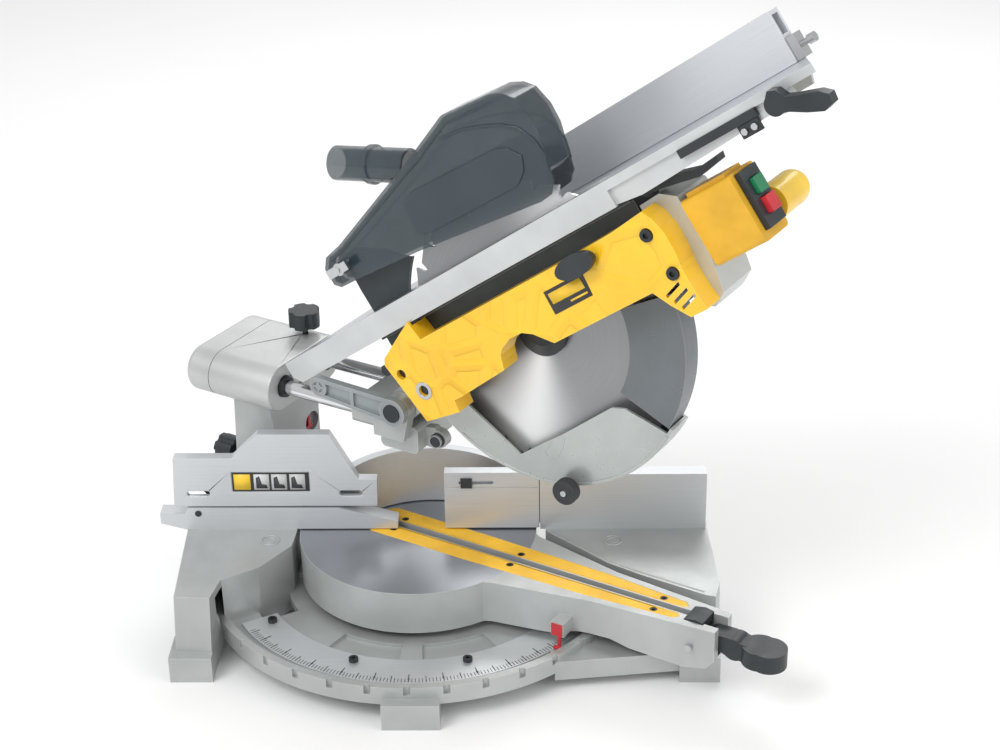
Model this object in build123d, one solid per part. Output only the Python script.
from build123d import *
import math
import os

os.makedirs("parts", exist_ok=True)

# A sliding compound mitre saw whose raised head carries a second, bench-saw table.
# Millimetres. World frame: origin on the ground under the turntable axis, +X along
# the fence, +Y to the back, +Z up.
#
# Everything on the turntable is drawn in a "kerf frame": x runs forward along the
# kerf, y to the side where the motor is, z up. The head is drawn level in a "head
# frame" whose origin is the head pivot, then swung up and turned with the turntable.

# ---------------------------------------------------------------- driving dimensions
MITRE = 60.0            # kerf direction, degrees to the right of straight ahead
HEAD_LIFT = 36.0        # how far the head is raised
PIVOT_S = 8.0           # head pivot along the kerf
PIVOT_Z = 209.0         # head pivot height
BLADE_R = 125.0
BLADE_T = 2.6
BLADE_BORE_R = 15.0
BLADE_X = 153.4         # blade axis ahead of the head pivot
TABLE_Z = 71.0          # lower table height
TURN_R = 104.4          # turntable radius
RAIL_Y = 30.0           # slide rails to each side of the kerf
RAIL_Z = 198.0
RAIL_R = 6.3
FENCE_T = 10.0          # fence face plate thickness
GUARD_R = 134.0         # lower guard outer radius
GUARD_HALF = 13.5       # lower guard half width
UP_TABLE_Z = 79.5       # upper table top above the blade axis
UP_TABLE_T = 7.0
POSTS = ((-108, 60), (80, 60))      # upper table posts, ahead of the blade axis and to the far side
POST_R = 6.0
SCREW_R = 3.2


# ---------------------------------------------------------------------- small helpers
def box(x0, x1, y0, y1, z0, z1):
    """An upright block between two opposite corners."""
    return Solid.make_box(x1 - x0, y1 - y0, z1 - z0, Plane((x0, y0, z0)))


def rod(start, direction, radius, length):
    """A round bar from a point along a direction."""
    return Solid.make_cylinder(radius, length, Plane(origin=start, z_dir=direction))


def side_plate(points, y0, y1):
    """A plate with an outline in the x-z plane, between two y positions."""
    face = Face(Wire.make_polygon([(x, y0, z) for x, z in points], close=True))
    return Solid.extrude(face, Vector(0, y1 - y0, 0))


def flat_plate(points, z0, z1):
    """A plate with an outline in the x-y plane, between two heights."""
    face = Face(Wire.make_polygon([(x, y, z0) for x, y in points], close=True))
    return Solid.extrude(face, Vector(0, 0, z1 - z0))


def end_plate(points, x0, x1):
    """A plate with an outline in the y-z plane, between two x positions."""
    face = Face(Wire.make_polygon([(x0, y, z) for y, z in points], close=True))
    return Solid.extrude(face, Vector(x1 - x0, 0, 0))


def ring(r_out, r_in, z0, z1, centre=(0, 0)):
    x, y = centre
    outer = rod((x, y, z0), (0, 0, 1), r_out, z1 - z0)
    return outer - rod((x, y, z0 - 1), (0, 0, 1), r_in, z1 - z0 + 2)


def arc_points(radius, a0, a1, count, centre=(0, 0)):
    """Points along an arc, angles in degrees."""
    cx, cy = centre
    steps = [math.radians(a0 + (a1 - a0) * i / (count - 1)) for i in range(count)]
    return [(cx + radius * math.cos(a), cy + radius * math.sin(a)) for a in steps]


def wedge(a0, a1, reach, count=12):
    """The outline of a pie slice, angles in degrees."""
    return [(0, 0)] + arc_points(reach, a0, a1, count)


def disc_sector(r_out, r_in, a0, a1, y0, y1):
    """Part of an upright ring about the blade axis, seen from the side."""
    centre = (BLADE_X, y0, 0)
    body = rod(centre, (0, 1, 0), r_out, y1 - y0)
    if r_in:
        body = body - rod((BLADE_X, y0 - 1, 0), (0, 1, 0), r_in, y1 - y0 + 2)
    slice_points = [(BLADE_X + x, z) for x, z in wedge(a0, a1, r_out * 1.3)]
    return body & side_plate(slice_points, y0 - 1, y1 + 1)


def slot_y(x, z, length, radius, y0, y1):
    """A long round-ended cutter along x, through y."""
    half = length / 2 - radius
    body = box(x - half, x + half, y0, y1, z - radius, z + radius)
    body = body + rod((x - half, y0, z), (0, 1, 0), radius, y1 - y0)
    return body + rod((x + half, y0, z), (0, 1, 0), radius, y1 - y0)


def head_points(points):
    """Outline points given from the blade axis, moved to the head frame."""
    return [(BLADE_X + u, v) for u, v in points]


def round_edges(shape, edges, radius):
    """Fillet the chosen edges."""
    return fillet(edges, radius) if edges else shape


def from_kerf(shape):
    return shape.rotate(Axis.Z, MITRE - 90.0)


def from_head(shape):
    lifted = shape.rotate(Axis.Y, -HEAD_LIFT)
    return from_kerf(lifted.moved(Location((PIVOT_S, 0, PIVOT_Z))))


def group(solids):
    return Compound(solids)


def save(name, shape):
    export_step(shape, "parts/" + name + ".step")


# ------------------------------------------------------------------------------- base
LEFT_WING = [(-205, 18), (-205, 1), (-199.4, -107.3), (-169, -109.4), (-163.6, -80.8),
             (-133.7, -62), (-109.4, -26.5), (-107.4, 0), (-107.4, 18)]
RIGHT_WING = [(254.5, 22), (254.5, 0), (259, -86), (254, -109), (246.5, -107),
              (193, -75), (165.5, -56), (112.3, -3), (112.3, 22)]
WING_WALL = 5.0
RIM_R = 187.0
RIM_TOP = 34.6
RIM_BOTTOM = 18.0
BENCH_HOLE_X = 187.0


def wing(outline, lean):
    """One side of the base: a table with walls leaning out to the foot, open below."""
    foot = [(x, y - lean if y < -85 else y) for x, y in outline]
    top_wire = Wire.make_polygon([(x, y, TABLE_Z) for x, y in outline], close=True)
    foot_wire = Wire.make_polygon([(x, y, 8.0) for x, y in foot], close=True)
    body = Solid.make_loft([foot_wire, top_wire], True)
    middle_x = sum(x for x, _ in outline) / len(outline)
    middle_y = sum(y for _, y in outline) / len(outline)
    inner = [(middle_x + 0.80 * (x - middle_x), middle_y + 0.84 * (y - middle_y)) for x, y in outline]
    return body - flat_plate(inner, 0, TABLE_Z - WING_WALL - 2)


def make_base():
    rim_slice = flat_plate(wedge(-172, -8, 260), RIM_BOTTOM - 2, RIM_TOP + 2)
    floor = ring(RIM_R, 34, RIM_BOTTOM, 25) & rim_slice
    rim = ring(RIM_R, 180, RIM_BOTTOM, RIM_TOP) & rim_slice
    base = floor + rim + ring(112, 20, RIM_BOTTOM, 25)
    base = base + box(-200, 250, -6, 18, 10, 30)
    base = base + ring(30, 9, RIM_BOTTOM, 31)
    # openings through the floor between the spokes
    for angle in (-158, -22):
        hole = ring(150, 118, RIM_BOTTOM - 1, 26)
        base = base - (hole & flat_plate(wedge(angle - 8, angle + 8, 220), 10, 30))
    # shallow pockets to each side of the middle spoke
    for angle in (-108, -72):
        pocket = ring(135, 111, 21.5, 26)
        base = base - (pocket & flat_plate(wedge(angle - 14, angle + 14, 220), 10, 30))
    for angle in (25, 65, 115, 155):
        hole = ring(98, 50, RIM_BOTTOM - 1, 26)
        base = base - (hole & flat_plate(wedge(angle - 14, angle + 14, 200), 10, 30))
    base = base + wing(LEFT_WING, 16) + wing(RIGHT_WING, 16)
    base = base - rod((0, 0, 31.5), (0, 0, 1), TURN_R + 2.0, 60)
    # detent notches on the outer edge of the rim
    for angle in range(-140, -39, 10):
        a = math.radians(angle)
        base = base - rod((186.5 * math.cos(a), 186.5 * math.sin(a), 27), (0, 0, 1), 3.0, 10)
    # low skirt from the rim to the right foot
    base = base + flat_plate([(120, -142), (226, -128), (226, -96), (110, -100)], 10, 28)
    # seat for the mitre scale
    seat = ring(170.3, 136.7, 25, 28.5) & flat_plate(wedge(-151.4, -31.6, 260), 20, 40)
    base = base - seat
    # feet
    base = base + box(-204.6, -168.4, -130, -96, 0, 24)
    base = base + box(224, 258, -131, -96, 0, 24)
    base = base + box(-21, 26.5, -196.6, -178, 0, 24)
    base = base + box(-204, -170, -10, 18, 0, 24) + box(172, 254, -10, 22, 0, 24)
    # bench bolt holes, opening downward
    for x in (-BENCH_HOLE_X, BENCH_HOLE_X):
        base = base - rod((x, 0, -1), (0, 0, 1), 4.5, 21)
    return base


def make_mitre_scale():
    scale = ring(170, 137, 25, 27.5) & flat_plate(wedge(-151, -32, 260), 20, 40)
    for angle in range(-140, -39, 10):
        a = math.radians(angle)
        scale = scale - rod((164 * math.cos(a), 164 * math.sin(a), 26.5), (0, 0, 1), 1.2, 5)
    for angle in SCALE_SCREW_ANGLES:
        a = math.radians(angle)
        scale = scale - rod((SCALE_SCREW_R * math.cos(a), SCALE_SCREW_R * math.sin(a), 20), (0, 0, 1), 2.2, 10)
    return scale


SCALE_SCREW_ANGLES = (-147, -109, -71)
SCALE_SCREW_R = 146.0


def make_scale_screws():
    screws = []
    for angle in SCALE_SCREW_ANGLES:
        a = math.radians(angle)
        x, y = SCALE_SCREW_R * math.cos(a), SCALE_SCREW_R * math.sin(a)
        screws.append(rod((x, y, 27.5), (0, 0, 1), 4.0, 3.2) - rod((x, y, 29), (0, 0, 1), 1.8, 4))
    return group(screws)


BRIDGE_CENTRE = (11.0, -33.0)
BRIDGE_R = 83.0


def make_fence_casting():
    left = side_plate([(-228, 78), (-203, 71), (-18, 71), (-18, 79), (-69.7, 93.4), (-203, 94),
                       (-206, 88), (-228, 88)], 0, 16)
    left_rib = box(-165, -52, FENCE_T + 0.4, 17, 71, 116)
    right = box(107.6, 253, 0, 14, 71, 126)
    right = right + box(107.6, 253, 12, 20, 71, 84)
    right_rib = box(30, 109, FENCE_T + 0.4, 17, 71, 118)
    bridge = ring(BRIDGE_R + 8, BRIDGE_R, 72, 125, BRIDGE_CENTRE)
    bridge = bridge & box(-120, 150, FENCE_T + 0.4, 80, 60, 130)
    fence = left + left_rib + right + right_rib + bridge
    fence = fence - rod((0, 0, 60), (0, 0, 1), TURN_R + 3.2, 12)
    for x in FENCE_BOLT_X:
        fence = fence - rod((x, 17.1, 104), (0, -1, 0), 2.6, 6)
    return fence


LEFT_KNOB_X = -186.0
LEFT_KNOB_Z = 108.0
FENCE_BOLT_X = (-150, -80, 44, 94)


def make_fence_bolts():
    bolts = []
    for x in FENCE_BOLT_X:
        head = rod((x, 17, 104), (0, 1, 0), 5.0, 5)
        bolts.append(head - rod((x, 19, 104), (0, 1, 0), 2.2, 5))
    return group(bolts)


LEFT_FENCE = [(-214.7, 95), (-211.9, 143.8), (-160, 143.5), (-136.7, 167), (-74.2, 166.6),
              (-50.8, 122.2), (-34.4, 122.1), (-35.1, 95)]


def make_left_fence():
    fence = side_plate(LEFT_FENCE, 0, FENCE_T)
    fence = fence - side_plate([(-205, 100), (-203, 137), (-158, 137), (-134, 160), (-78, 160),
                                (-56, 118), (-42, 117), (-42, 100)], 5, FENCE_T + 1)
    fence = fence + box(-140, -110, 4.5, FENCE_T, 98, 161)
    for x in (-192, -58):
        fence = fence - slot_y(x, 108, 20, 2.6, -1, 20)
    return fence - box(-162, -93.6, -1, 0.8, 110, 129.4)


def make_left_label():
    return box(-161.6, -94, 0.2, 0.8, 110.4, 129)


def make_left_knob():
    stud = rod((LEFT_KNOB_X, FENCE_T + 0.3, LEFT_KNOB_Z), (0, 1, 0), 4, 14)
    return stud + star_knob((LEFT_KNOB_X, 20, LEFT_KNOB_Z), (0, 1, 0), 13, 12, 6, 4.5)


def make_sub_fence():
    fence = box(24, 107, 0, FENCE_T, 72.4, 128)
    fence = fence - slot_y(52, 118, 30, 1.6, -1, 20)
    return fence - box(24, 107, -1, 0.5, 112.6, 113.1)


def make_sub_fence_screw():
    return box(38.5, 48.5, -2.0, 0, 113.5, 122.5) + rod((43.5, 0, 118), (0, 1, 0), 1.5, FENCE_T)


# -------------------------------------------------------------------------- turntable
ARM_OUTLINE = [(60, -62), (100, -42), (126, -37), (186, -25), (297, -16.2), (297, 16.2),
               (186, 25), (126, 37), (100, 42), (60, 62)]
STRIP_IN = 4.6
KERF_HALF = 3.6
STRIP_T = 3.0
TRUNNION_R = 33.0
LEVER_HINGE = (291.0, 57.0)
TRUNNION_X = -126.8
BEVEL_PIN_R = 9.0


def strip_outline(side, grow):
    """A kerf strip, wide over the turntable and narrower toward the arm's end."""
    points = [(-43, STRIP_IN), (257, STRIP_IN), (262, 8), (257, 13), (180, 19), (60, 22), (-36, 22),
              (-43, 16)]
    grown = []
    for x, y in points:
        end = grow if x > 250 else (-grow if x < -30 else 0)
        grown.append((x + end, side * (y + (grow if y > STRIP_IN else 0))))
    return grown


def make_turntable():
    table = rod((0, 0, 32), (0, 0, 1), TURN_R, TABLE_Z - 32)
    arm = flat_plate(ARM_OUTLINE, 30, TABLE_Z)
    arm = arm & side_plate([(0, 32), (150, 32), (176, 38.5), (205, 38.5), (222, 34), (270, 30), (290, 34),
                            (298, 44), (298, 72), (0, 72)], -80, 80)
    table = table + arm
    # ribbed underside
    table = table - rod((0, 0, 20), (0, 0, 1), TURN_R - 6, 43)
    table = table - flat_plate([(90, -38), (126, -31), (186, -19), (262, -11), (262, 11),
                                (186, 19), (126, 31), (90, 38)], 20, 62)
    table = table + rod((0, 0, 32), (0, 0, 1), 24, 36)
    # rear bracket that carries the bevel trunnion
    table = table + box(-116, -60, -22, 22, 44, 66)
    table = table + rod((TRUNNION_X, 0, TABLE_Z), (1, 0, 0), TRUNNION_R, 10.8)
    table = table - rod((TRUNNION_X - 1, 0, TABLE_Z), (1, 0, 0), BEVEL_PIN_R + 0.06, 11)
    # kerf slot and recesses for the strips
    table = table - box(-46, 266, -KERF_HALF, KERF_HALF, 58, 80)
    for side in (-1, 1):
        table = table - flat_plate(strip_outline(side, 0.25), TABLE_Z - STRIP_T, 80)
    # latch window and lever pocket at the end of the arm
    table = table - box(266, 284, -11.2, 11.2, 56, 80)
    table = table - box(284, 300, -9, 9, 44, 80)
    # pocket for the pointer's block
    table = table + box(160, 172, -44, -24, 40, 53)
    table = table - rod((0, 0, 20), (0, 0, 1), 8, 40)
    return table - rod((276, -23, 52), (0, 1, 0), 3.0, 14)


def make_strip(side):
    strip = flat_plate(strip_outline(side, 0), TABLE_Z - STRIP_T, TABLE_Z)
    for x in STRIP_SCREW_X:
        strip = strip - rod((x, side * 9.5, 60), (0, 0, 1), SCREW_R, 20)
    return strip


STRIP_SCREW_X = (-20, 100, 238)


def make_turntable_fasteners():
    parts = []
    for side in (-1, 1):
        for x in STRIP_SCREW_X:
            screw = rod((x, side * 9.5, TABLE_Z - STRIP_T), (0, 0, 1), SCREW_R - 0.05, 2.6)
            parts.append(screw - rod((x, side * 9.5, TABLE_Z - 1.6), (0, 0, 1), 1.4, 3))
    return group(parts)


def make_pointer():
    pointer = box(161, 171, -45.2, -44, 41, 52)
    pointer = pointer + box(167, 170, -45.2, -44, 30, 42)
    return pointer + box(164, 170, -47.5, -44, 29, 31)


def make_lever():
    barrel = rod((LEVER_HINGE[0], -8.4, LEVER_HINGE[1]), (0, 1, 0), 6.5, 16.8)
    neck = side_plate([(289, 52), (305, 46), (322, 45), (322, 61), (305, 64), (289, 63)], -8.4, 8.4)
    bump = rod((310, -8.4, 54), (0, 1, 0), 10, 16.8)
    paddle = rod((330, 0, 45), (0, 0, 1), 15, 16) + rod((338, 0, 45), (0, 0, 1), 15, 16)
    return barrel + neck + bump + paddle


def make_latch():
    tab = side_plate([(266.6, 64), (283.4, 64), (283.4, 72), (276, 73.5), (266.6, 71.5)], -10.8, 10.8)
    return tab + box(268, 282, -10.4, 10.4, 59, 64)


def make_arm_pin():
    pin = rod((276, -22, 52), (0, 1, 0), 3.0, 13)
    return pin


# -------------------------------------------------------------------------- bevel arm
POST_HALF = 33.0
HOUSING_X0 = -180.0
HOUSING_X1 = -114.0
HOUSING_HALF = 33.0      # half the width before the rounded sides


def housing_section(grow, x0, x1):
    """The flattened round section around both slide rails."""
    r = 21.0 + grow
    body = box(x0, x1, -HOUSING_HALF, HOUSING_HALF, RAIL_Z - r, RAIL_Z + r)
    for side in (-1, 1):
        body = body + rod((x0, side * HOUSING_HALF, RAIL_Z), (1, 0, 0), r, x1 - x0)
    return body


def make_post():
    front = side_plate([(-174, 71), (-127.2, 71), (-127.2, RAIL_Z - 21), (-170, RAIL_Z - 21)],
                       -POST_HALF, POST_HALF)
    foot = rod((-174, 0, TABLE_Z), (1, 0, 0), POST_HALF, 46.8)
    post = front + foot + rod((-128, 0, TABLE_Z), (1, 0, 0), BEVEL_PIN_R, 9.5)
    # waist between the foot and the rail housing, and a hollow back
    post = post - box(-180, -140, -25, 25, 96, 168)
    post = post - (rod((-127.2 - 5, 22, 136), (1, 0, 0), 9.5, 8))
    for side in (-1, 1):
        flare = end_plate([(side * 24, RAIL_Z - 21), (side * 38, RAIL_Z - 21),
                           (side * POST_HALF, 150), (side * 24, 150)], -140, -127.2)
        post = post + flare
    return post


def make_bevel_pointer():
    return box(-131.8, -129, 19, 22, 129, 143) + box(-131.8, -129, 16, 25, 129, 132)


def make_housing():
    body = housing_section(0, HOUSING_X0, HOUSING_X1)
    for side in (-1, 1):
        bore = rod((HOUSING_X0 - 1, side * RAIL_Y, RAIL_Z), (1, 0, 0), RAIL_R + 3.0, 90)
        body = body - bore
    body = body - rod((-135, 31, 206), (0, 0, 1), 2.6, 30)
    return body


def make_housing_cap():
    cap = housing_section(0, -206, HOUSING_X0)
    cap = round_edges(cap, cap.faces().sort_by(Axis.X)[0].edges(), 6)
    for side in (-1, 1):
        cap = cap - rod((-204, side * RAIL_Y, RAIL_Z), (1, 0, 0), RAIL_R + 3.0, 30)
    return cap


def make_rail_bushes():
    bushes = []
    for side in (-1, 1):
        for x0, length in ((-176, 20), (-132, 21.5)):
            bush = rod((x0, side * RAIL_Y, RAIL_Z), (1, 0, 0), RAIL_R + 3.0, length)
            bushes.append(bush - rod((x0 - 1, side * RAIL_Y, RAIL_Z), (1, 0, 0), RAIL_R + 0.06, length + 2))
    return group(bushes)


def star_knob(centre, direction, radius, height, lobes, dip):
    """A knob with scalloped sides."""
    axis = Plane(origin=centre, z_dir=direction)
    knob = Solid.make_cylinder(radius, height, axis)
    for i in range(lobes):
        a = 2 * math.pi * (i + 0.5) / lobes
        at = axis.from_local_coords(Vector((radius + dip * 0.45) * math.cos(a),
                                           (radius + dip * 0.45) * math.sin(a), -1))
        knob = knob - Solid.make_cylinder(dip, height + 2, Plane(origin=at, z_dir=direction))
    return knob


def make_rail_lock_knob():
    knob = star_knob((-135, 31, 227), (0, 0, 1), 14, 15, 5, 4.5)
    return knob + rod((-135, 31, 213), (0, 0, 1), 2.5, 16)


def make_bevel_lock_knob():
    knob = star_knob((-198, -22, 112), (1, 0, 0), 13, 18, 6, 3.5)
    return knob + rod((-180, -22, 112), (1, 0, 0), 5, 5.6)


# --------------------------------------------------------------------------- carriage
RAIL_FRONT = -12.0
RAIL_REAR = -203.0
LINK_OUT = -44.0
LINK_IN = -37.0
LINK_REAR = (-67.0, 215.0)


def make_rails():
    rails = []
    for side in (-1, 1):
        rails.append(rod((RAIL_REAR, side * RAIL_Y, RAIL_Z), (1, 0, 0), RAIL_R, RAIL_FRONT - RAIL_REAR))
    return group(rails)


def make_carriage():
    cross = box(-38, -9, LINK_IN, 44, 186.5, 206.5)
    cross = round_edges(cross, cross.edges().filter_by(Axis.X), 4)
    for side in (-1, 1):
        cross = cross - rod((-40, side * RAIL_Y, RAIL_Z), (1, 0, 0), RAIL_R, RAIL_FRONT + 40)
    block = box(-16, 22, -27, 27, 165, 190)
    block = round_edges(block, block.edges().filter_by(Axis.Y), 5)
    carriage = cross + block
    for y0, y1 in ((-37, -27), (29, 44)):
        ear = rod((PIVOT_S, y0, PIVOT_Z), (0, 1, 0), 12.5, y1 - y0)
        ear = ear + side_plate([(-12, 186.5), (14, 180), (20.5, 208), (-4, 212), (-12, 206.5)], y0, y1)
        carriage = carriage + ear
    carriage = carriage + box(-16, 14, -37, 44, 180, 190)
    carriage = carriage - rod((PIVOT_S, -60, PIVOT_Z), (0, 1, 0), 8.05, 120)
    return carriage - rod((PIVOT_S, -26.9, PIVOT_Z), (0, 1, 0), 18.6, 55.8)


def make_link_arm():
    boss = rod((LINK_REAR[0], LINK_OUT, LINK_REAR[1]), (0, 1, 0), 8.6, LINK_IN - LINK_OUT)
    eye = rod((PIVOT_S, LINK_OUT, PIVOT_Z), (0, 1, 0), 12.5, LINK_IN - LINK_OUT)
    web = side_plate([(-67, 223), (8, 220), (-1, 200), (-67, 207)], LINK_OUT + 3, LINK_IN)
    rim_top = side_plate([(-67, 223.4), (8, 221.2), (8, 218), (-67, 220)], LINK_OUT, LINK_IN)
    rim_low = side_plate([(-67, 209.6), (2, 202.5), (0, 199.5), (-67, 206.6)], LINK_OUT, LINK_IN)
    rib = side_plate([(-34, 222), (-31, 222), (-31, 204), (-34, 204)], LINK_OUT + 0.6, LINK_IN)
    arm = boss + eye + web + rim_top + rim_low + rib
    arm = arm - rod((PIVOT_S, -60, PIVOT_Z), (0, 1, 0), 8.05, 60)
    return arm - rod((LINK_REAR[0], LINK_OUT - 1, LINK_REAR[1]), (0, 1, 0), 6.2, 4)


def make_link_cap():
    x, z = LINK_REAR
    cap = rod((x, LINK_OUT + 0.4, z), (0, 1, 0), 6.2, 2.6)
    gaps = rod((x, LINK_OUT - 1, z), (0, 1, 0), 5.0, 2.6) - rod((x, LINK_OUT - 2, z), (0, 1, 0), 2.6, 5)
    spokes = box(x - 7, x + 7, LINK_OUT - 2, -36, z - 0.7, z + 0.7)
    spokes = spokes + box(x - 0.7, x + 0.7, LINK_OUT - 2, -36, z - 7, z + 7)
    return cap - (gaps - spokes)


def make_stop_bracket():
    u, z = 34.0, 177.0
    bracket = side_plate([(22, 168), (22, 186), (30, 187), (38, 180), (36, 170), (30, 167)], -14, -6)
    bracket = bracket + rod((u, -14, z), (0, 1, 0), 8, 8)
    bolt = rod((u, -19, z), (0, 1, 0), 5.5, 5) - rod((u, -20, z), (0, 1, 0), 2.6, 3)
    return bracket + bolt


# ------------------------------------------------------------------------------- head
COVER_OUTER = [(-135, 38), (-131, 43), (-89, 60), (-86, 42.5), (78, 42.5), (130, 44), (163, 47),
               (168, 39), (171.3, 26), (171, 10), (168.5, -7), (168.5, -24), (170, -39), (154, -39),
               (143, -24), (135, -10),
               (31, -10), (25, -4), (17, 4), (8, 9), (-6, 9), (-17, 5), (-22, 1), (-27, -11),
               (-81, -14.5), (-89, -14.5), (-91, -25), (-127, -20)]
COVER_NEAR = -40.0
COVER_BACK = -18.2
COVER_WALL = 3.0


def make_near_cover():
    cover = side_plate(head_points(COVER_OUTER), COVER_NEAR, COVER_BACK)
    face = Face(Wire.make_polygon([(x, COVER_NEAR + COVER_WALL, z)
                                   for x, z in head_points(COVER_OUTER)], close=True))
    inner = offset(face, amount=-COVER_WALL, kind=Kind.INTERSECTION)
    cover = cover - Solid.extrude(inner.faces()[0], Vector(0, 30, 0))
    for u, v in ((-124.5, 24.5), (-112, 4)):
        cover = cover + rod((BLADE_X + u, COVER_NEAR + 1, v), (0, 1, 0), 8, 20.8)
        cover = cover - rod((BLADE_X + u, COVER_NEAR - 1, v), (0, 1, 0), 4.5, 30)
    for u, v in COVER_SCREWS:
        cover = cover - rod((BLADE_X + u, COVER_NEAR - 1, v), (0, 1, 0), 5.4, 2.5)
    # relief behind the rear peak, where the upper table's skirt hangs down
    cover = cover - box(BLADE_X - 120, BLADE_X - 60, -37, -10, 55.5, 66)
    # open underneath, where the lower guard's roller swings up
    cover = cover - box(BLADE_X + 27, BLADE_X + 152, COVER_NEAR + COVER_WALL, -10, -60, 32)
    # cooling slots in the nose
    for i in range(3):
        u, v = 144 + 3.5 * i, -16 - 6.5 * i
        slot = side_plate(head_points([(u, v), (u + 16, v + 5), (u + 16, v + 2.2), (u, v - 2.8)]), -45, -30)
        cover = cover - slot
    return cover - side_plate(head_points([(47, 29), (89, 29), (87, 9), (46, 9)]), -41, -39.2)


COVER_SCREWS = ((157, 30), (160, -4))


def make_cover_screws():
    parts = []
    for u, v in COVER_SCREWS:
        head = rod((BLADE_X + u, COVER_NEAR + 1.5, v), (0, -1, 0), 5.0, 3.5)
        parts.append(head - rod((BLADE_X + u, COVER_NEAR - 3, v), (0, 1, 0), 2.3, 3))
    # the hexagon bolt that sets the height stop, behind the cover
    hexagon = [(5.5 * math.cos(math.radians(60 * i)), 5.5 * math.sin(math.radians(60 * i))) for i in range(6)]
    points = [(BLADE_X - 142 + x, 33 + z) for x, z in hexagon]
    parts.append(side_plate(points, -34, -27) + rod((BLADE_X - 142, -27, 33), (0, 1, 0), 3, 8.7))
    return group(parts)


def make_name_plate():
    return side_plate(head_points([(47.3, 28.7), (88.7, 28.7), (86.7, 9.3), (46.3, 9.3)]), -39.9, -39.2)


def make_inner_guard():
    wall = side_plate(head_points([(-137, 38), (148, 38), (148, 58), (-137, 58)]), -18.2, -15.6)
    front = box(BLADE_X + 138, BLADE_X + 148, -15.6, 17, 38, 58)
    # stiffening lip along the top edge
    lip = box(BLADE_X - 137, BLADE_X + 148, -24, -15.6, 56, 60)
    return wall + front + lip


FRONT_A0 = -62.0
FRONT_A1 = -9.0


def make_front_guard():
    near = disc_sector(130, 81, FRONT_A0, FRONT_A1, -10.5, -8.7)
    far = disc_sector(130, 81, FRONT_A0, FRONT_A1, 8.7, 10.5)
    rim = disc_sector(130, 127.6, FRONT_A0, FRONT_A1, -10.5, 10.5)
    # the arm and ring that hang the guard on the gear case boss
    arm = disc_sector(84, 34, -44, -26, 8.7, 9.7)
    hanger = disc_sector(37, 30.2, -180, 0, 8.7, 9.7) + disc_sector(37, 30.2, 0, 180, 8.7, 9.7)
    return near + far + rim + arm + hanger


def make_gear_case():
    plate = side_plate(head_points([(-139, -14), (-139, 20), (-120, 60), (148, 60), (150, -30), (60, -44),
                                    (-60, -44)]), 17, 30)
    boss = rod((BLADE_X, 8, 0), (0, 1, 0), 29.7, 9) + rod((BLADE_X, 30, 0), (0, 1, 0), 40, 12)
    knuckle = rod((0, -26, 0), (0, 1, 0), 14, 54)
    bridge = side_plate([(0, -13), (15, -12), (15, 16), (0, 13)], -26, 28)
    arm = side_plate([(0, -13), (40, -20), (60, 20), (0, 13)], 17, 28)
    collar = side_plate(head_points([(150, 50), (170, 51), (182.5, 43), (183.8, 25), (183, -2), (175.5, -36),
                                     (162.5, -43), (150, -36)]), -18.2, 30)
    case = plate + boss + knuckle + bridge + arm + collar
    # lugs for the two handle screws on the collar
    for v in (26, -13):
        case = case + rod((BLADE_X + 168, -13, v), (1, 0, 0), 4.5, 20)
    # sleeves that guide the upper table's posts
    for u, y in POSTS:
        case = case + box(BLADE_X + u - 11, BLADE_X + u + 11, 30, y + 11, -14, 14)
        case = case - rod((BLADE_X + u, y, -40), (0, 0, 1), POST_R + 0.06, 80)
    case = case - rod((0, -30, 0), (0, 1, 0), 8.05, 90)
    return case - rod((BLADE_X, -10, 0), (0, 1, 0), 10.06, 60)


def make_pivot_shaft():
    shaft = rod((PIVOT_S, LINK_OUT - 1, PIVOT_Z), (0, 1, 0), 8.0, 90)
    return shaft


MOTOR_U = -42.0
MOTOR_V = 12.0
MOTOR_R = 41.0


def make_motor():
    motor = rod((BLADE_X + MOTOR_U, 42, MOTOR_V), (0, 1, 0), MOTOR_R, 88)
    motor = motor + rod((BLADE_X + MOTOR_U, 30, MOTOR_V), (0, 1, 0), 34, 12)
    motor = motor - (rod((BLADE_X, 29, 0), (0, 1, 0), 40.3, 13.3))
    for i in range(16):
        a = math.radians(22.5 * i)
        x = BLADE_X + MOTOR_U + (MOTOR_R + 1.2) * math.cos(a)
        z = MOTOR_V + (MOTOR_R + 1.2) * math.sin(a)
        motor = motor - rod((x, 54, z), (0, 1, 0), 2.4, 66)
    return motor


def make_motor_cap():
    centre = (BLADE_X + MOTOR_U, 130, MOTOR_V)
    cap = rod(centre, (0, 1, 0), MOTOR_R - 1, 20)
    cap = round_edges(cap, cap.faces().sort_by(Axis.Y)[-1].edges(), 8)
    for i in range(12):
        a = math.radians(30 * i)
        slot = Solid.make_box(14, 6, 3.2, Plane((centre[0] + 16, 146, centre[2] - 1.6)))
        cap = cap - slot.rotate(Axis(centre, (0, 1, 0)), math.degrees(a))
    return cap


GRIP_CENTRE = (224.0, 2.0)
GRIP_R = 14.0


def make_handle():
    u, v = GRIP_CENTRE
    grip = rod((BLADE_X + u, 20, v), (0, 1, 0), GRIP_R, 38)
    grip = grip + Solid.make_sphere(GRIP_R, Plane((BLADE_X + u, 58, v)))
    neck = side_plate(head_points([(184.4, 24), (u, 16), (u, -12), (184.4, -14)]), 20, 34)
    return grip + neck


def make_switch_box():
    body = box(BLADE_X + 184.2, BLADE_X + 231, -22, 18, -17, 38)
    body = round_edges(body, body.edges().filter_by(Axis.X), 4)
    body = body - rod((BLADE_X + 180, -13, 26), (1, 0, 0), 4.7, 9)
    body = body - rod((BLADE_X + 180, -13, -13), (1, 0, 0), 4.7, 9)
    return body + box(BLADE_X + 188, BLADE_X + 224, -15, 12, 38, 41)


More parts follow.
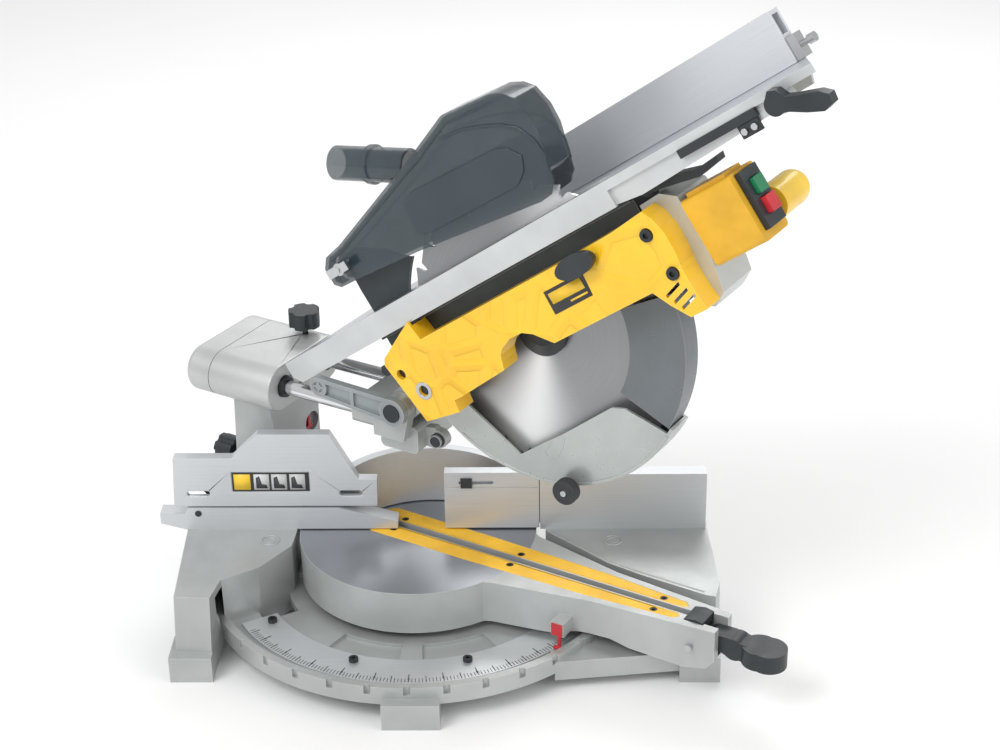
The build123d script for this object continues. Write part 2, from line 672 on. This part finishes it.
SWITCH_FACE = 236.0
BUTTON_HALF = 7.0
START_V = (15.0, 28.0)
STOP_V = (-1.0, 12.0)


def make_switch_plate():
    well = BUTTON_HALF + 0.3
    plate = box(BLADE_X + 231, BLADE_X + SWITCH_FACE, -15, 12, -10, 36)
    plate = plate - box(BLADE_X + 230, BLADE_X + 237, -well, well, STOP_V[0] - 0.3, START_V[1] + 0.3)
    bar = box(BLADE_X + 231, BLADE_X + SWITCH_FACE, -well, well, STOP_V[1] + 0.3, START_V[0] - 0.3)
    return plate + bar + box(BLADE_X + 231, BLADE_X + 232, -well, well, STOP_V[0] - 0.3, START_V[1] + 0.3)


def make_button(span, proud):
    return box(BLADE_X + 234.6, BLADE_X + SWITCH_FACE + proud, -BUTTON_HALF, BUTTON_HALF, *span)


def make_lock_lever():
    lever = side_plate(head_points([(158, 54), (172, 53), (190, 50), (206, 47), (226, 50), (227, 55), (206, 53),
                                    (190, 57), (172, 60), (158, 60)]), -15, -3)
    return lever + rod((BLADE_X + 160, -15, 57), (0, 1, 0), 4.8, 12)


def make_oval_knob():
    u, v = 92.0, 36.0
    outline = [(u + 19 * math.cos(math.radians(15 * i)), v + 9 * math.sin(math.radians(15 * i)))
               for i in range(24)]
    grip = side_plate(head_points(outline), -50, -44)
    return grip + rod((BLADE_X + u, -44.5, v), (0, 1, 0), 7, 4.2)


def make_knife():
    outline = [(-149.5, 20.2), (-149.5, 100), (-147.5, 127), (-143, 133), (-130, 133.5), (-100, 118),
               (-84, 104)]
    outline += arc_points(130, 128, 147.4, 6)
    outline += [(-118.5, 70), (-126.5, 56), (-133, 37), (-139.2, 20.2)]
    knife = side_plate(head_points(outline), -1.1, 1.1)
    return knife - rod((BLADE_X - 138, -5, 125), (0, 1, 0), 3.05, 10)


# ------------------------------------------------------------------------------ blade
TEETH = 30


def make_blade():
    points = []
    for i in range(TEETH):
        a = 2 * math.pi * i / TEETH
        pitch = 2 * math.pi / TEETH
        for share, radius in ((0.0, BLADE_R), (0.16, BLADE_R - 1.5), (0.72, BLADE_R - 4.0),
                              (0.86, BLADE_R - 11.0), (0.97, BLADE_R - 8.0)):
            b = a + share * pitch
            points.append((BLADE_X + radius * math.cos(b), radius * math.sin(b)))
    blade = side_plate(points, -BLADE_T / 2, BLADE_T / 2)
    blade = blade - rod((BLADE_X, -5, 0), (0, 1, 0), BLADE_BORE_R, 10)
    for i in range(5):
        a = 2 * math.pi * (i + 0.3) / 5
        x, z = BLADE_X + 108 * math.cos(a), 108 * math.sin(a)
        blade = blade - rod((x, -5, z), (0, 1, 0), 1.8, 10)
    return blade


def make_flanges():
    near = rod((BLADE_X, -8, 0), (0, 1, 0), 22, 8 - BLADE_T / 2)
    near = near - rod((BLADE_X, -12, 0), (0, 1, 0), 10, 12)
    far = rod((BLADE_X, BLADE_T / 2, 0), (0, 1, 0), 22, 6)
    far = far - rod((BLADE_X, 0, 0), (0, 1, 0), 10, 12)
    return group([near, far])


def make_arbor():
    shaft = rod((BLADE_X, -8, 0), (0, 1, 0), 10.0, 48)
    collar = rod((BLADE_X, -BLADE_T / 2, 0), (0, 1, 0), BLADE_BORE_R, BLADE_T)
    hexagon = [(9 * math.cos(math.radians(60 * i)), 9 * math.sin(math.radians(60 * i))) for i in range(6)]
    bolt = rod((BLADE_X, -10, 0), (0, 1, 0), 12, 2)
    return shaft + collar + bolt + side_plate([(BLADE_X + x, z) for x, z in hexagon], -15.2, -10)


# ------------------------------------------------------------------------ lower guard
GUARD_A0 = 190.0
GUARD_A1 = 299.4
GUARD_RIM = 3.0
ROLLER_U = -50.5
ROLLER_V = -124.0


def make_lower_guard():
    far_wall = disc_sector(GUARD_R, 30.1, GUARD_A0, GUARD_A1, 11, GUARD_HALF)
    hub = rod((BLADE_X, 10, 0), (0, 1, 0), 42, GUARD_HALF - 10)
    hub = hub - rod((BLADE_X, 5, 0), (0, 1, 0), 29.76, 20)
    rim = disc_sector(GUARD_R, GUARD_R - GUARD_RIM, GUARD_A0, GUARD_A1, -GUARD_HALF, GUARD_HALF)
    window = head_points([(-105, -18), (-82, -82.5), (-32, -82.4), (25, -79.5), (36, -85), (46.6, -99),
                          (60, -118), (72, -160), (-170, -160), (-170, -18)])
    near_wall = rod((BLADE_X, -GUARD_HALF, 0), (0, 1, 0), GUARD_R, 2.5)
    near_wall = near_wall & side_plate(window, -GUARD_HALF - 1, -10)
    near_wall = near_wall & side_plate(head_points(wedge(GUARD_A0, GUARD_A1, 200)), -20, 0)
    axle = rod((BLADE_X + ROLLER_U, -30, ROLLER_V), (0, 1, 0), 2.5, 30 - GUARD_HALF)
    return far_wall + hub + rim + near_wall + axle


def make_roller():
    roller = rod((BLADE_X + ROLLER_U, -29, ROLLER_V), (0, 1, 0), 10.8, 10)
    return roller - rod((BLADE_X + ROLLER_U, -35, ROLLER_V), (0, 1, 0), 2.56, 20)


# ------------------------------------------------------------------------ upper guard
SMOKE_OUTLINE = [(-130, 142), (-150, 139), (-158, 131), (-158, 116), (-152, 111), (-133, 110), (-57.5, 104),
                 (73, 89), (84, 90), (92, 97), (104, 134), (105, 150), (101, 167), (93, 175), (82, 180),
                 (32, 186), (-15, 172)]
SMOKE_HALF = 16.5
SMOKE_WALL = 2.0


def make_smoke_guard():
    body = side_plate(head_points(SMOKE_OUTLINE), -SMOKE_HALF, SMOKE_HALF)
    face = Face(Wire.make_polygon([(x, -SMOKE_HALF + SMOKE_WALL, z)
                                   for x, z in head_points(SMOKE_OUTLINE)], close=True))
    inner = offset(face, amount=-SMOKE_WALL, kind=Kind.INTERSECTION)
    body = body - Solid.extrude(inner.faces()[0], Vector(0, 2 * (SMOKE_HALF - SMOKE_WALL), 0))
    # open underside for the blade and knife, and a slot up the back for the knife
    mouth = side_plate(head_points([(-165, 100), (-165, 113.5), (-133, 112.5), (-57, 107), (60, 94), (84, 97),
                                    (95, 108), (115, 108), (115, 80)]),
                       -SMOKE_HALF + SMOKE_WALL, SMOKE_HALF - SMOKE_WALL)
    body = body - mouth
    body = body - box(BLADE_X - 162, BLADE_X - 143, -3, 3, 100, 136)
    spacer = rod((BLADE_X - 138, -SMOKE_HALF + SMOKE_WALL, 125), (0, 1, 0), 6, SMOKE_HALF - SMOKE_WALL - 1.4)
    spacer = spacer + rod((BLADE_X - 138, 1.4, 125), (0, 1, 0), 6, SMOKE_HALF - SMOKE_WALL - 1.4)
    body = body + spacer
    body = body - rod((BLADE_X - 138, -40, 125), (0, 1, 0), 3.0, 80)
    # mouth of the dust port
    start, direction = dust_axis()
    return body - rod(start, direction, 12.0, 60)


def dust_axis():
    """Where the dust tube starts inside the guard, and which way it points."""
    return (BLADE_X - 19.4, 0, 158.6), (-0.884, 0, 0.468)


def make_dust_port():
    start, direction = dust_axis()
    d = Vector(*direction)
    seat = Vector(*start) + d * 16
    tube = rod(seat, direction, 14.5, 74)
    ring_at = Vector(*start) + d * 50
    tube = tube + rod(ring_at, direction, 16.5, 5)
    tube = tube - rod(start, direction, 12.0, 120)
    return tube - side_plate(head_points(SMOKE_OUTLINE), -SMOKE_HALF, SMOKE_HALF)


def make_wing_nut():
    x = BLADE_X - 138
    bolt = rod((x, -27, 125), (0, 1, 0), 2.95, 50)
    nut = rod((x, -23.7, 125), (0, 1, 0), 5.5, 7)
    wings = box(x - 12, x + 12, -26, -23, 121, 129)
    return bolt + nut + wings + rod((x, 16.7, 125), (0, 1, 0), 5.5, 4)


# ------------------------------------------------------------------------ upper table
TABLE_OUTLINE = [(-238, -36), (340, -36), (338, -31), (254, 123), (-238, 123)]
CLAMP_HUB = (306.0, 67.0)
SKIRT_V = 58.5
SKIRT_T = 3.0
NOTCH_U = 144.0


def make_upper_table():
    low = UP_TABLE_Z - UP_TABLE_T
    plate = flat_plate(head_points(TABLE_OUTLINE), low, UP_TABLE_Z)
    near = side_plate(head_points([(-238, 66), (-231, SKIRT_V), (NOTCH_U, SKIRT_V), (NOTCH_U, low), (-238, low)]),
                      -36, -36 + SKIRT_T)
    near = near + side_plate(head_points([(NOTCH_U - 3, 60), (168, 57), (293, 62), (306, low), (NOTCH_U - 3, low)]),
                             -33, -30)
    far = side_plate(head_points([(-238, 66), (-226, SKIRT_V), (250, SKIRT_V), (254, low), (-238, low)]),
                     123 - SKIRT_T, 123)
    rear = box(BLADE_X - 238, BLADE_X - 235, -36, 123, 66, low)
    table = plate + near + far + rear
    # a cross rib and the guide rail under the front edge
    table = table + box(BLADE_X + 200, BLADE_X + 204, -31, 121, 60, low)
    table = table + box(BLADE_X - 200, BLADE_X - 196, -34, 121, 63, low)
    # blade slot, with a wide part that lets the swung-up lower guard through
    table = table - box(BLADE_X - 160, BLADE_X + 112, -4, 4, 50, 90)
    table = table - box(BLADE_X + 38, BLADE_X + 126, -16, 16, 50, 90)
    # a boss for the clamp lever
    boss = rod((BLADE_X + CLAMP_HUB[0], -36, CLAMP_HUB[1]), (0, 1, 0), 9, 10)
    return table + boss



def make_table_posts():
    posts = []
    for u, y in POSTS:
        posts.append(rod((BLADE_X + u, y, -30), (0, 0, 1), POST_R, UP_TABLE_Z - UP_TABLE_T + 30))
    return group(posts)


def make_clamp_lever():
    u, v = CLAMP_HUB
    hub = rod((BLADE_X + u, -46, v), (0, 1, 0), 8, 9.7)
    lever = side_plate(head_points([(300, 72), (306, 78), (312, 76), (316, 69), (324, 66), (340, 61), (346, 56),
                                    (345, 49), (337, 47), (325, 52), (314, 58), (304, 62)]), -46, -36.3)
    return hub + lever


RIP_FACE_Y = 100.0
RIP_U0 = -25.0
RIP_U1 = 258.0
RIP_HEIGHT = 44.0


def make_rip_fence():
    foot = UP_TABLE_Z + 0.3
    fence = box(BLADE_X + RIP_U0, BLADE_X + RIP_U1, RIP_FACE_Y, RIP_FACE_Y + 16, foot, foot + RIP_HEIGHT)
    # two long hollows with a web between them
    for low in (3, 23):
        fence = fence - box(BLADE_X + RIP_U0 - 1, BLADE_X + RIP_U1 + 1, RIP_FACE_Y + 3, RIP_FACE_Y + 13,
                            foot + low, foot + low + 17)
    return fence


def make_rip_clamp():
    foot = UP_TABLE_Z + 0.3
    block = box(BLADE_X + RIP_U1 + 0.2, BLADE_X + RIP_U1 + 8, RIP_FACE_Y + 2, RIP_FACE_Y + 14, foot, foot + 20)
    screw = rod((BLADE_X + RIP_U1 + 8, RIP_FACE_Y + 8, foot + 10), (1, 0, 0), 2.5, 12)
    knob = rod((BLADE_X + RIP_U1 + 14, RIP_FACE_Y + 8, foot + 10), (1, 0, 0), 4, 6)
    return block + screw + knob


# ------------------------------------------------------------------------- everything
save("base_casting", make_base())
save("mitre_scale", make_mitre_scale())
save("scale_screws", make_scale_screws())
save("fence_casting", make_fence_casting())
save("fence_bolts", make_fence_bolts())
save("left_fence", make_left_fence())
save("left_fence_label", make_left_label())
save("left_fence_knob", make_left_knob())
save("right_sub_fence", make_sub_fence())
save("sub_fence_screw", make_sub_fence_screw())

save("turntable_casting", from_kerf(make_turntable()))
save("kerf_strip_near", from_kerf(make_strip(-1)))
save("kerf_strip_far", from_kerf(make_strip(1)))
save("turntable_screws", from_kerf(make_turntable_fasteners()))
save("mitre_pointer", from_kerf(make_pointer()))
save("mitre_lever", from_kerf(make_lever()))
save("detent_latch", from_kerf(make_latch()))
save("lever_pin", from_kerf(make_arm_pin()))

save("bevel_post", from_kerf(make_post()))
save("bevel_pointer", from_kerf(make_bevel_pointer()))
save("rail_housing", from_kerf(make_housing()))
save("housing_cap", from_kerf(make_housing_cap()))
save("rail_bushes", from_kerf(make_rail_bushes()))
save("rail_lock_knob", from_kerf(make_rail_lock_knob()))
save("bevel_lock_knob", from_kerf(make_bevel_lock_knob()))

save("slide_rails", from_kerf(make_rails()))
save("carriage_casting", from_kerf(make_carriage()))
save("link_arm", from_kerf(make_link_arm()))
save("link_cap", from_kerf(make_link_cap()))
save("stop_bracket", from_kerf(make_stop_bracket()))
save("pivot_shaft", from_kerf(make_pivot_shaft()))

save("near_cover", from_head(make_near_cover()))
save("cover_screws", from_head(make_cover_screws()))
save("name_plate", from_head(make_name_plate()))
save("inner_guard", from_head(make_inner_guard()))
save("front_guard", from_head(make_front_guard()))
save("gear_case", from_head(make_gear_case()))
save("motor_housing", from_head(make_motor()))
save("motor_cap", from_head(make_motor_cap()))
save("handle", from_head(make_handle()))
save("switch_box", from_head(make_switch_box()))
save("switch_plate", from_head(make_switch_plate()))
save("start_button", from_head(make_button(START_V, 3.5)))
save("stop_button", from_head(make_button(STOP_V, 5.0)))
save("head_lock_lever", from_head(make_lock_lever()))
save("oval_knob", from_head(make_oval_knob()))
save("riving_knife", from_head(make_knife()))

save("saw_blade", from_head(make_blade()))
save("blade_flanges", from_head(make_flanges()))
save("arbor", from_head(make_arbor()))
save("lower_guard", from_head(make_lower_guard()))
save("guard_roller", from_head(make_roller()))
save("smoke_guard", from_head(make_smoke_guard()))
save("dust_port", from_head(make_dust_port()))
save("wing_nut", from_head(make_wing_nut()))
save("upper_table", from_head(make_upper_table()))
save("table_posts", from_head(make_table_posts()))
save("table_clamp_lever", from_head(make_clamp_lever()))
save("rip_fence", from_head(make_rip_fence()))
save("rip_clamp", from_head(make_rip_clamp()))
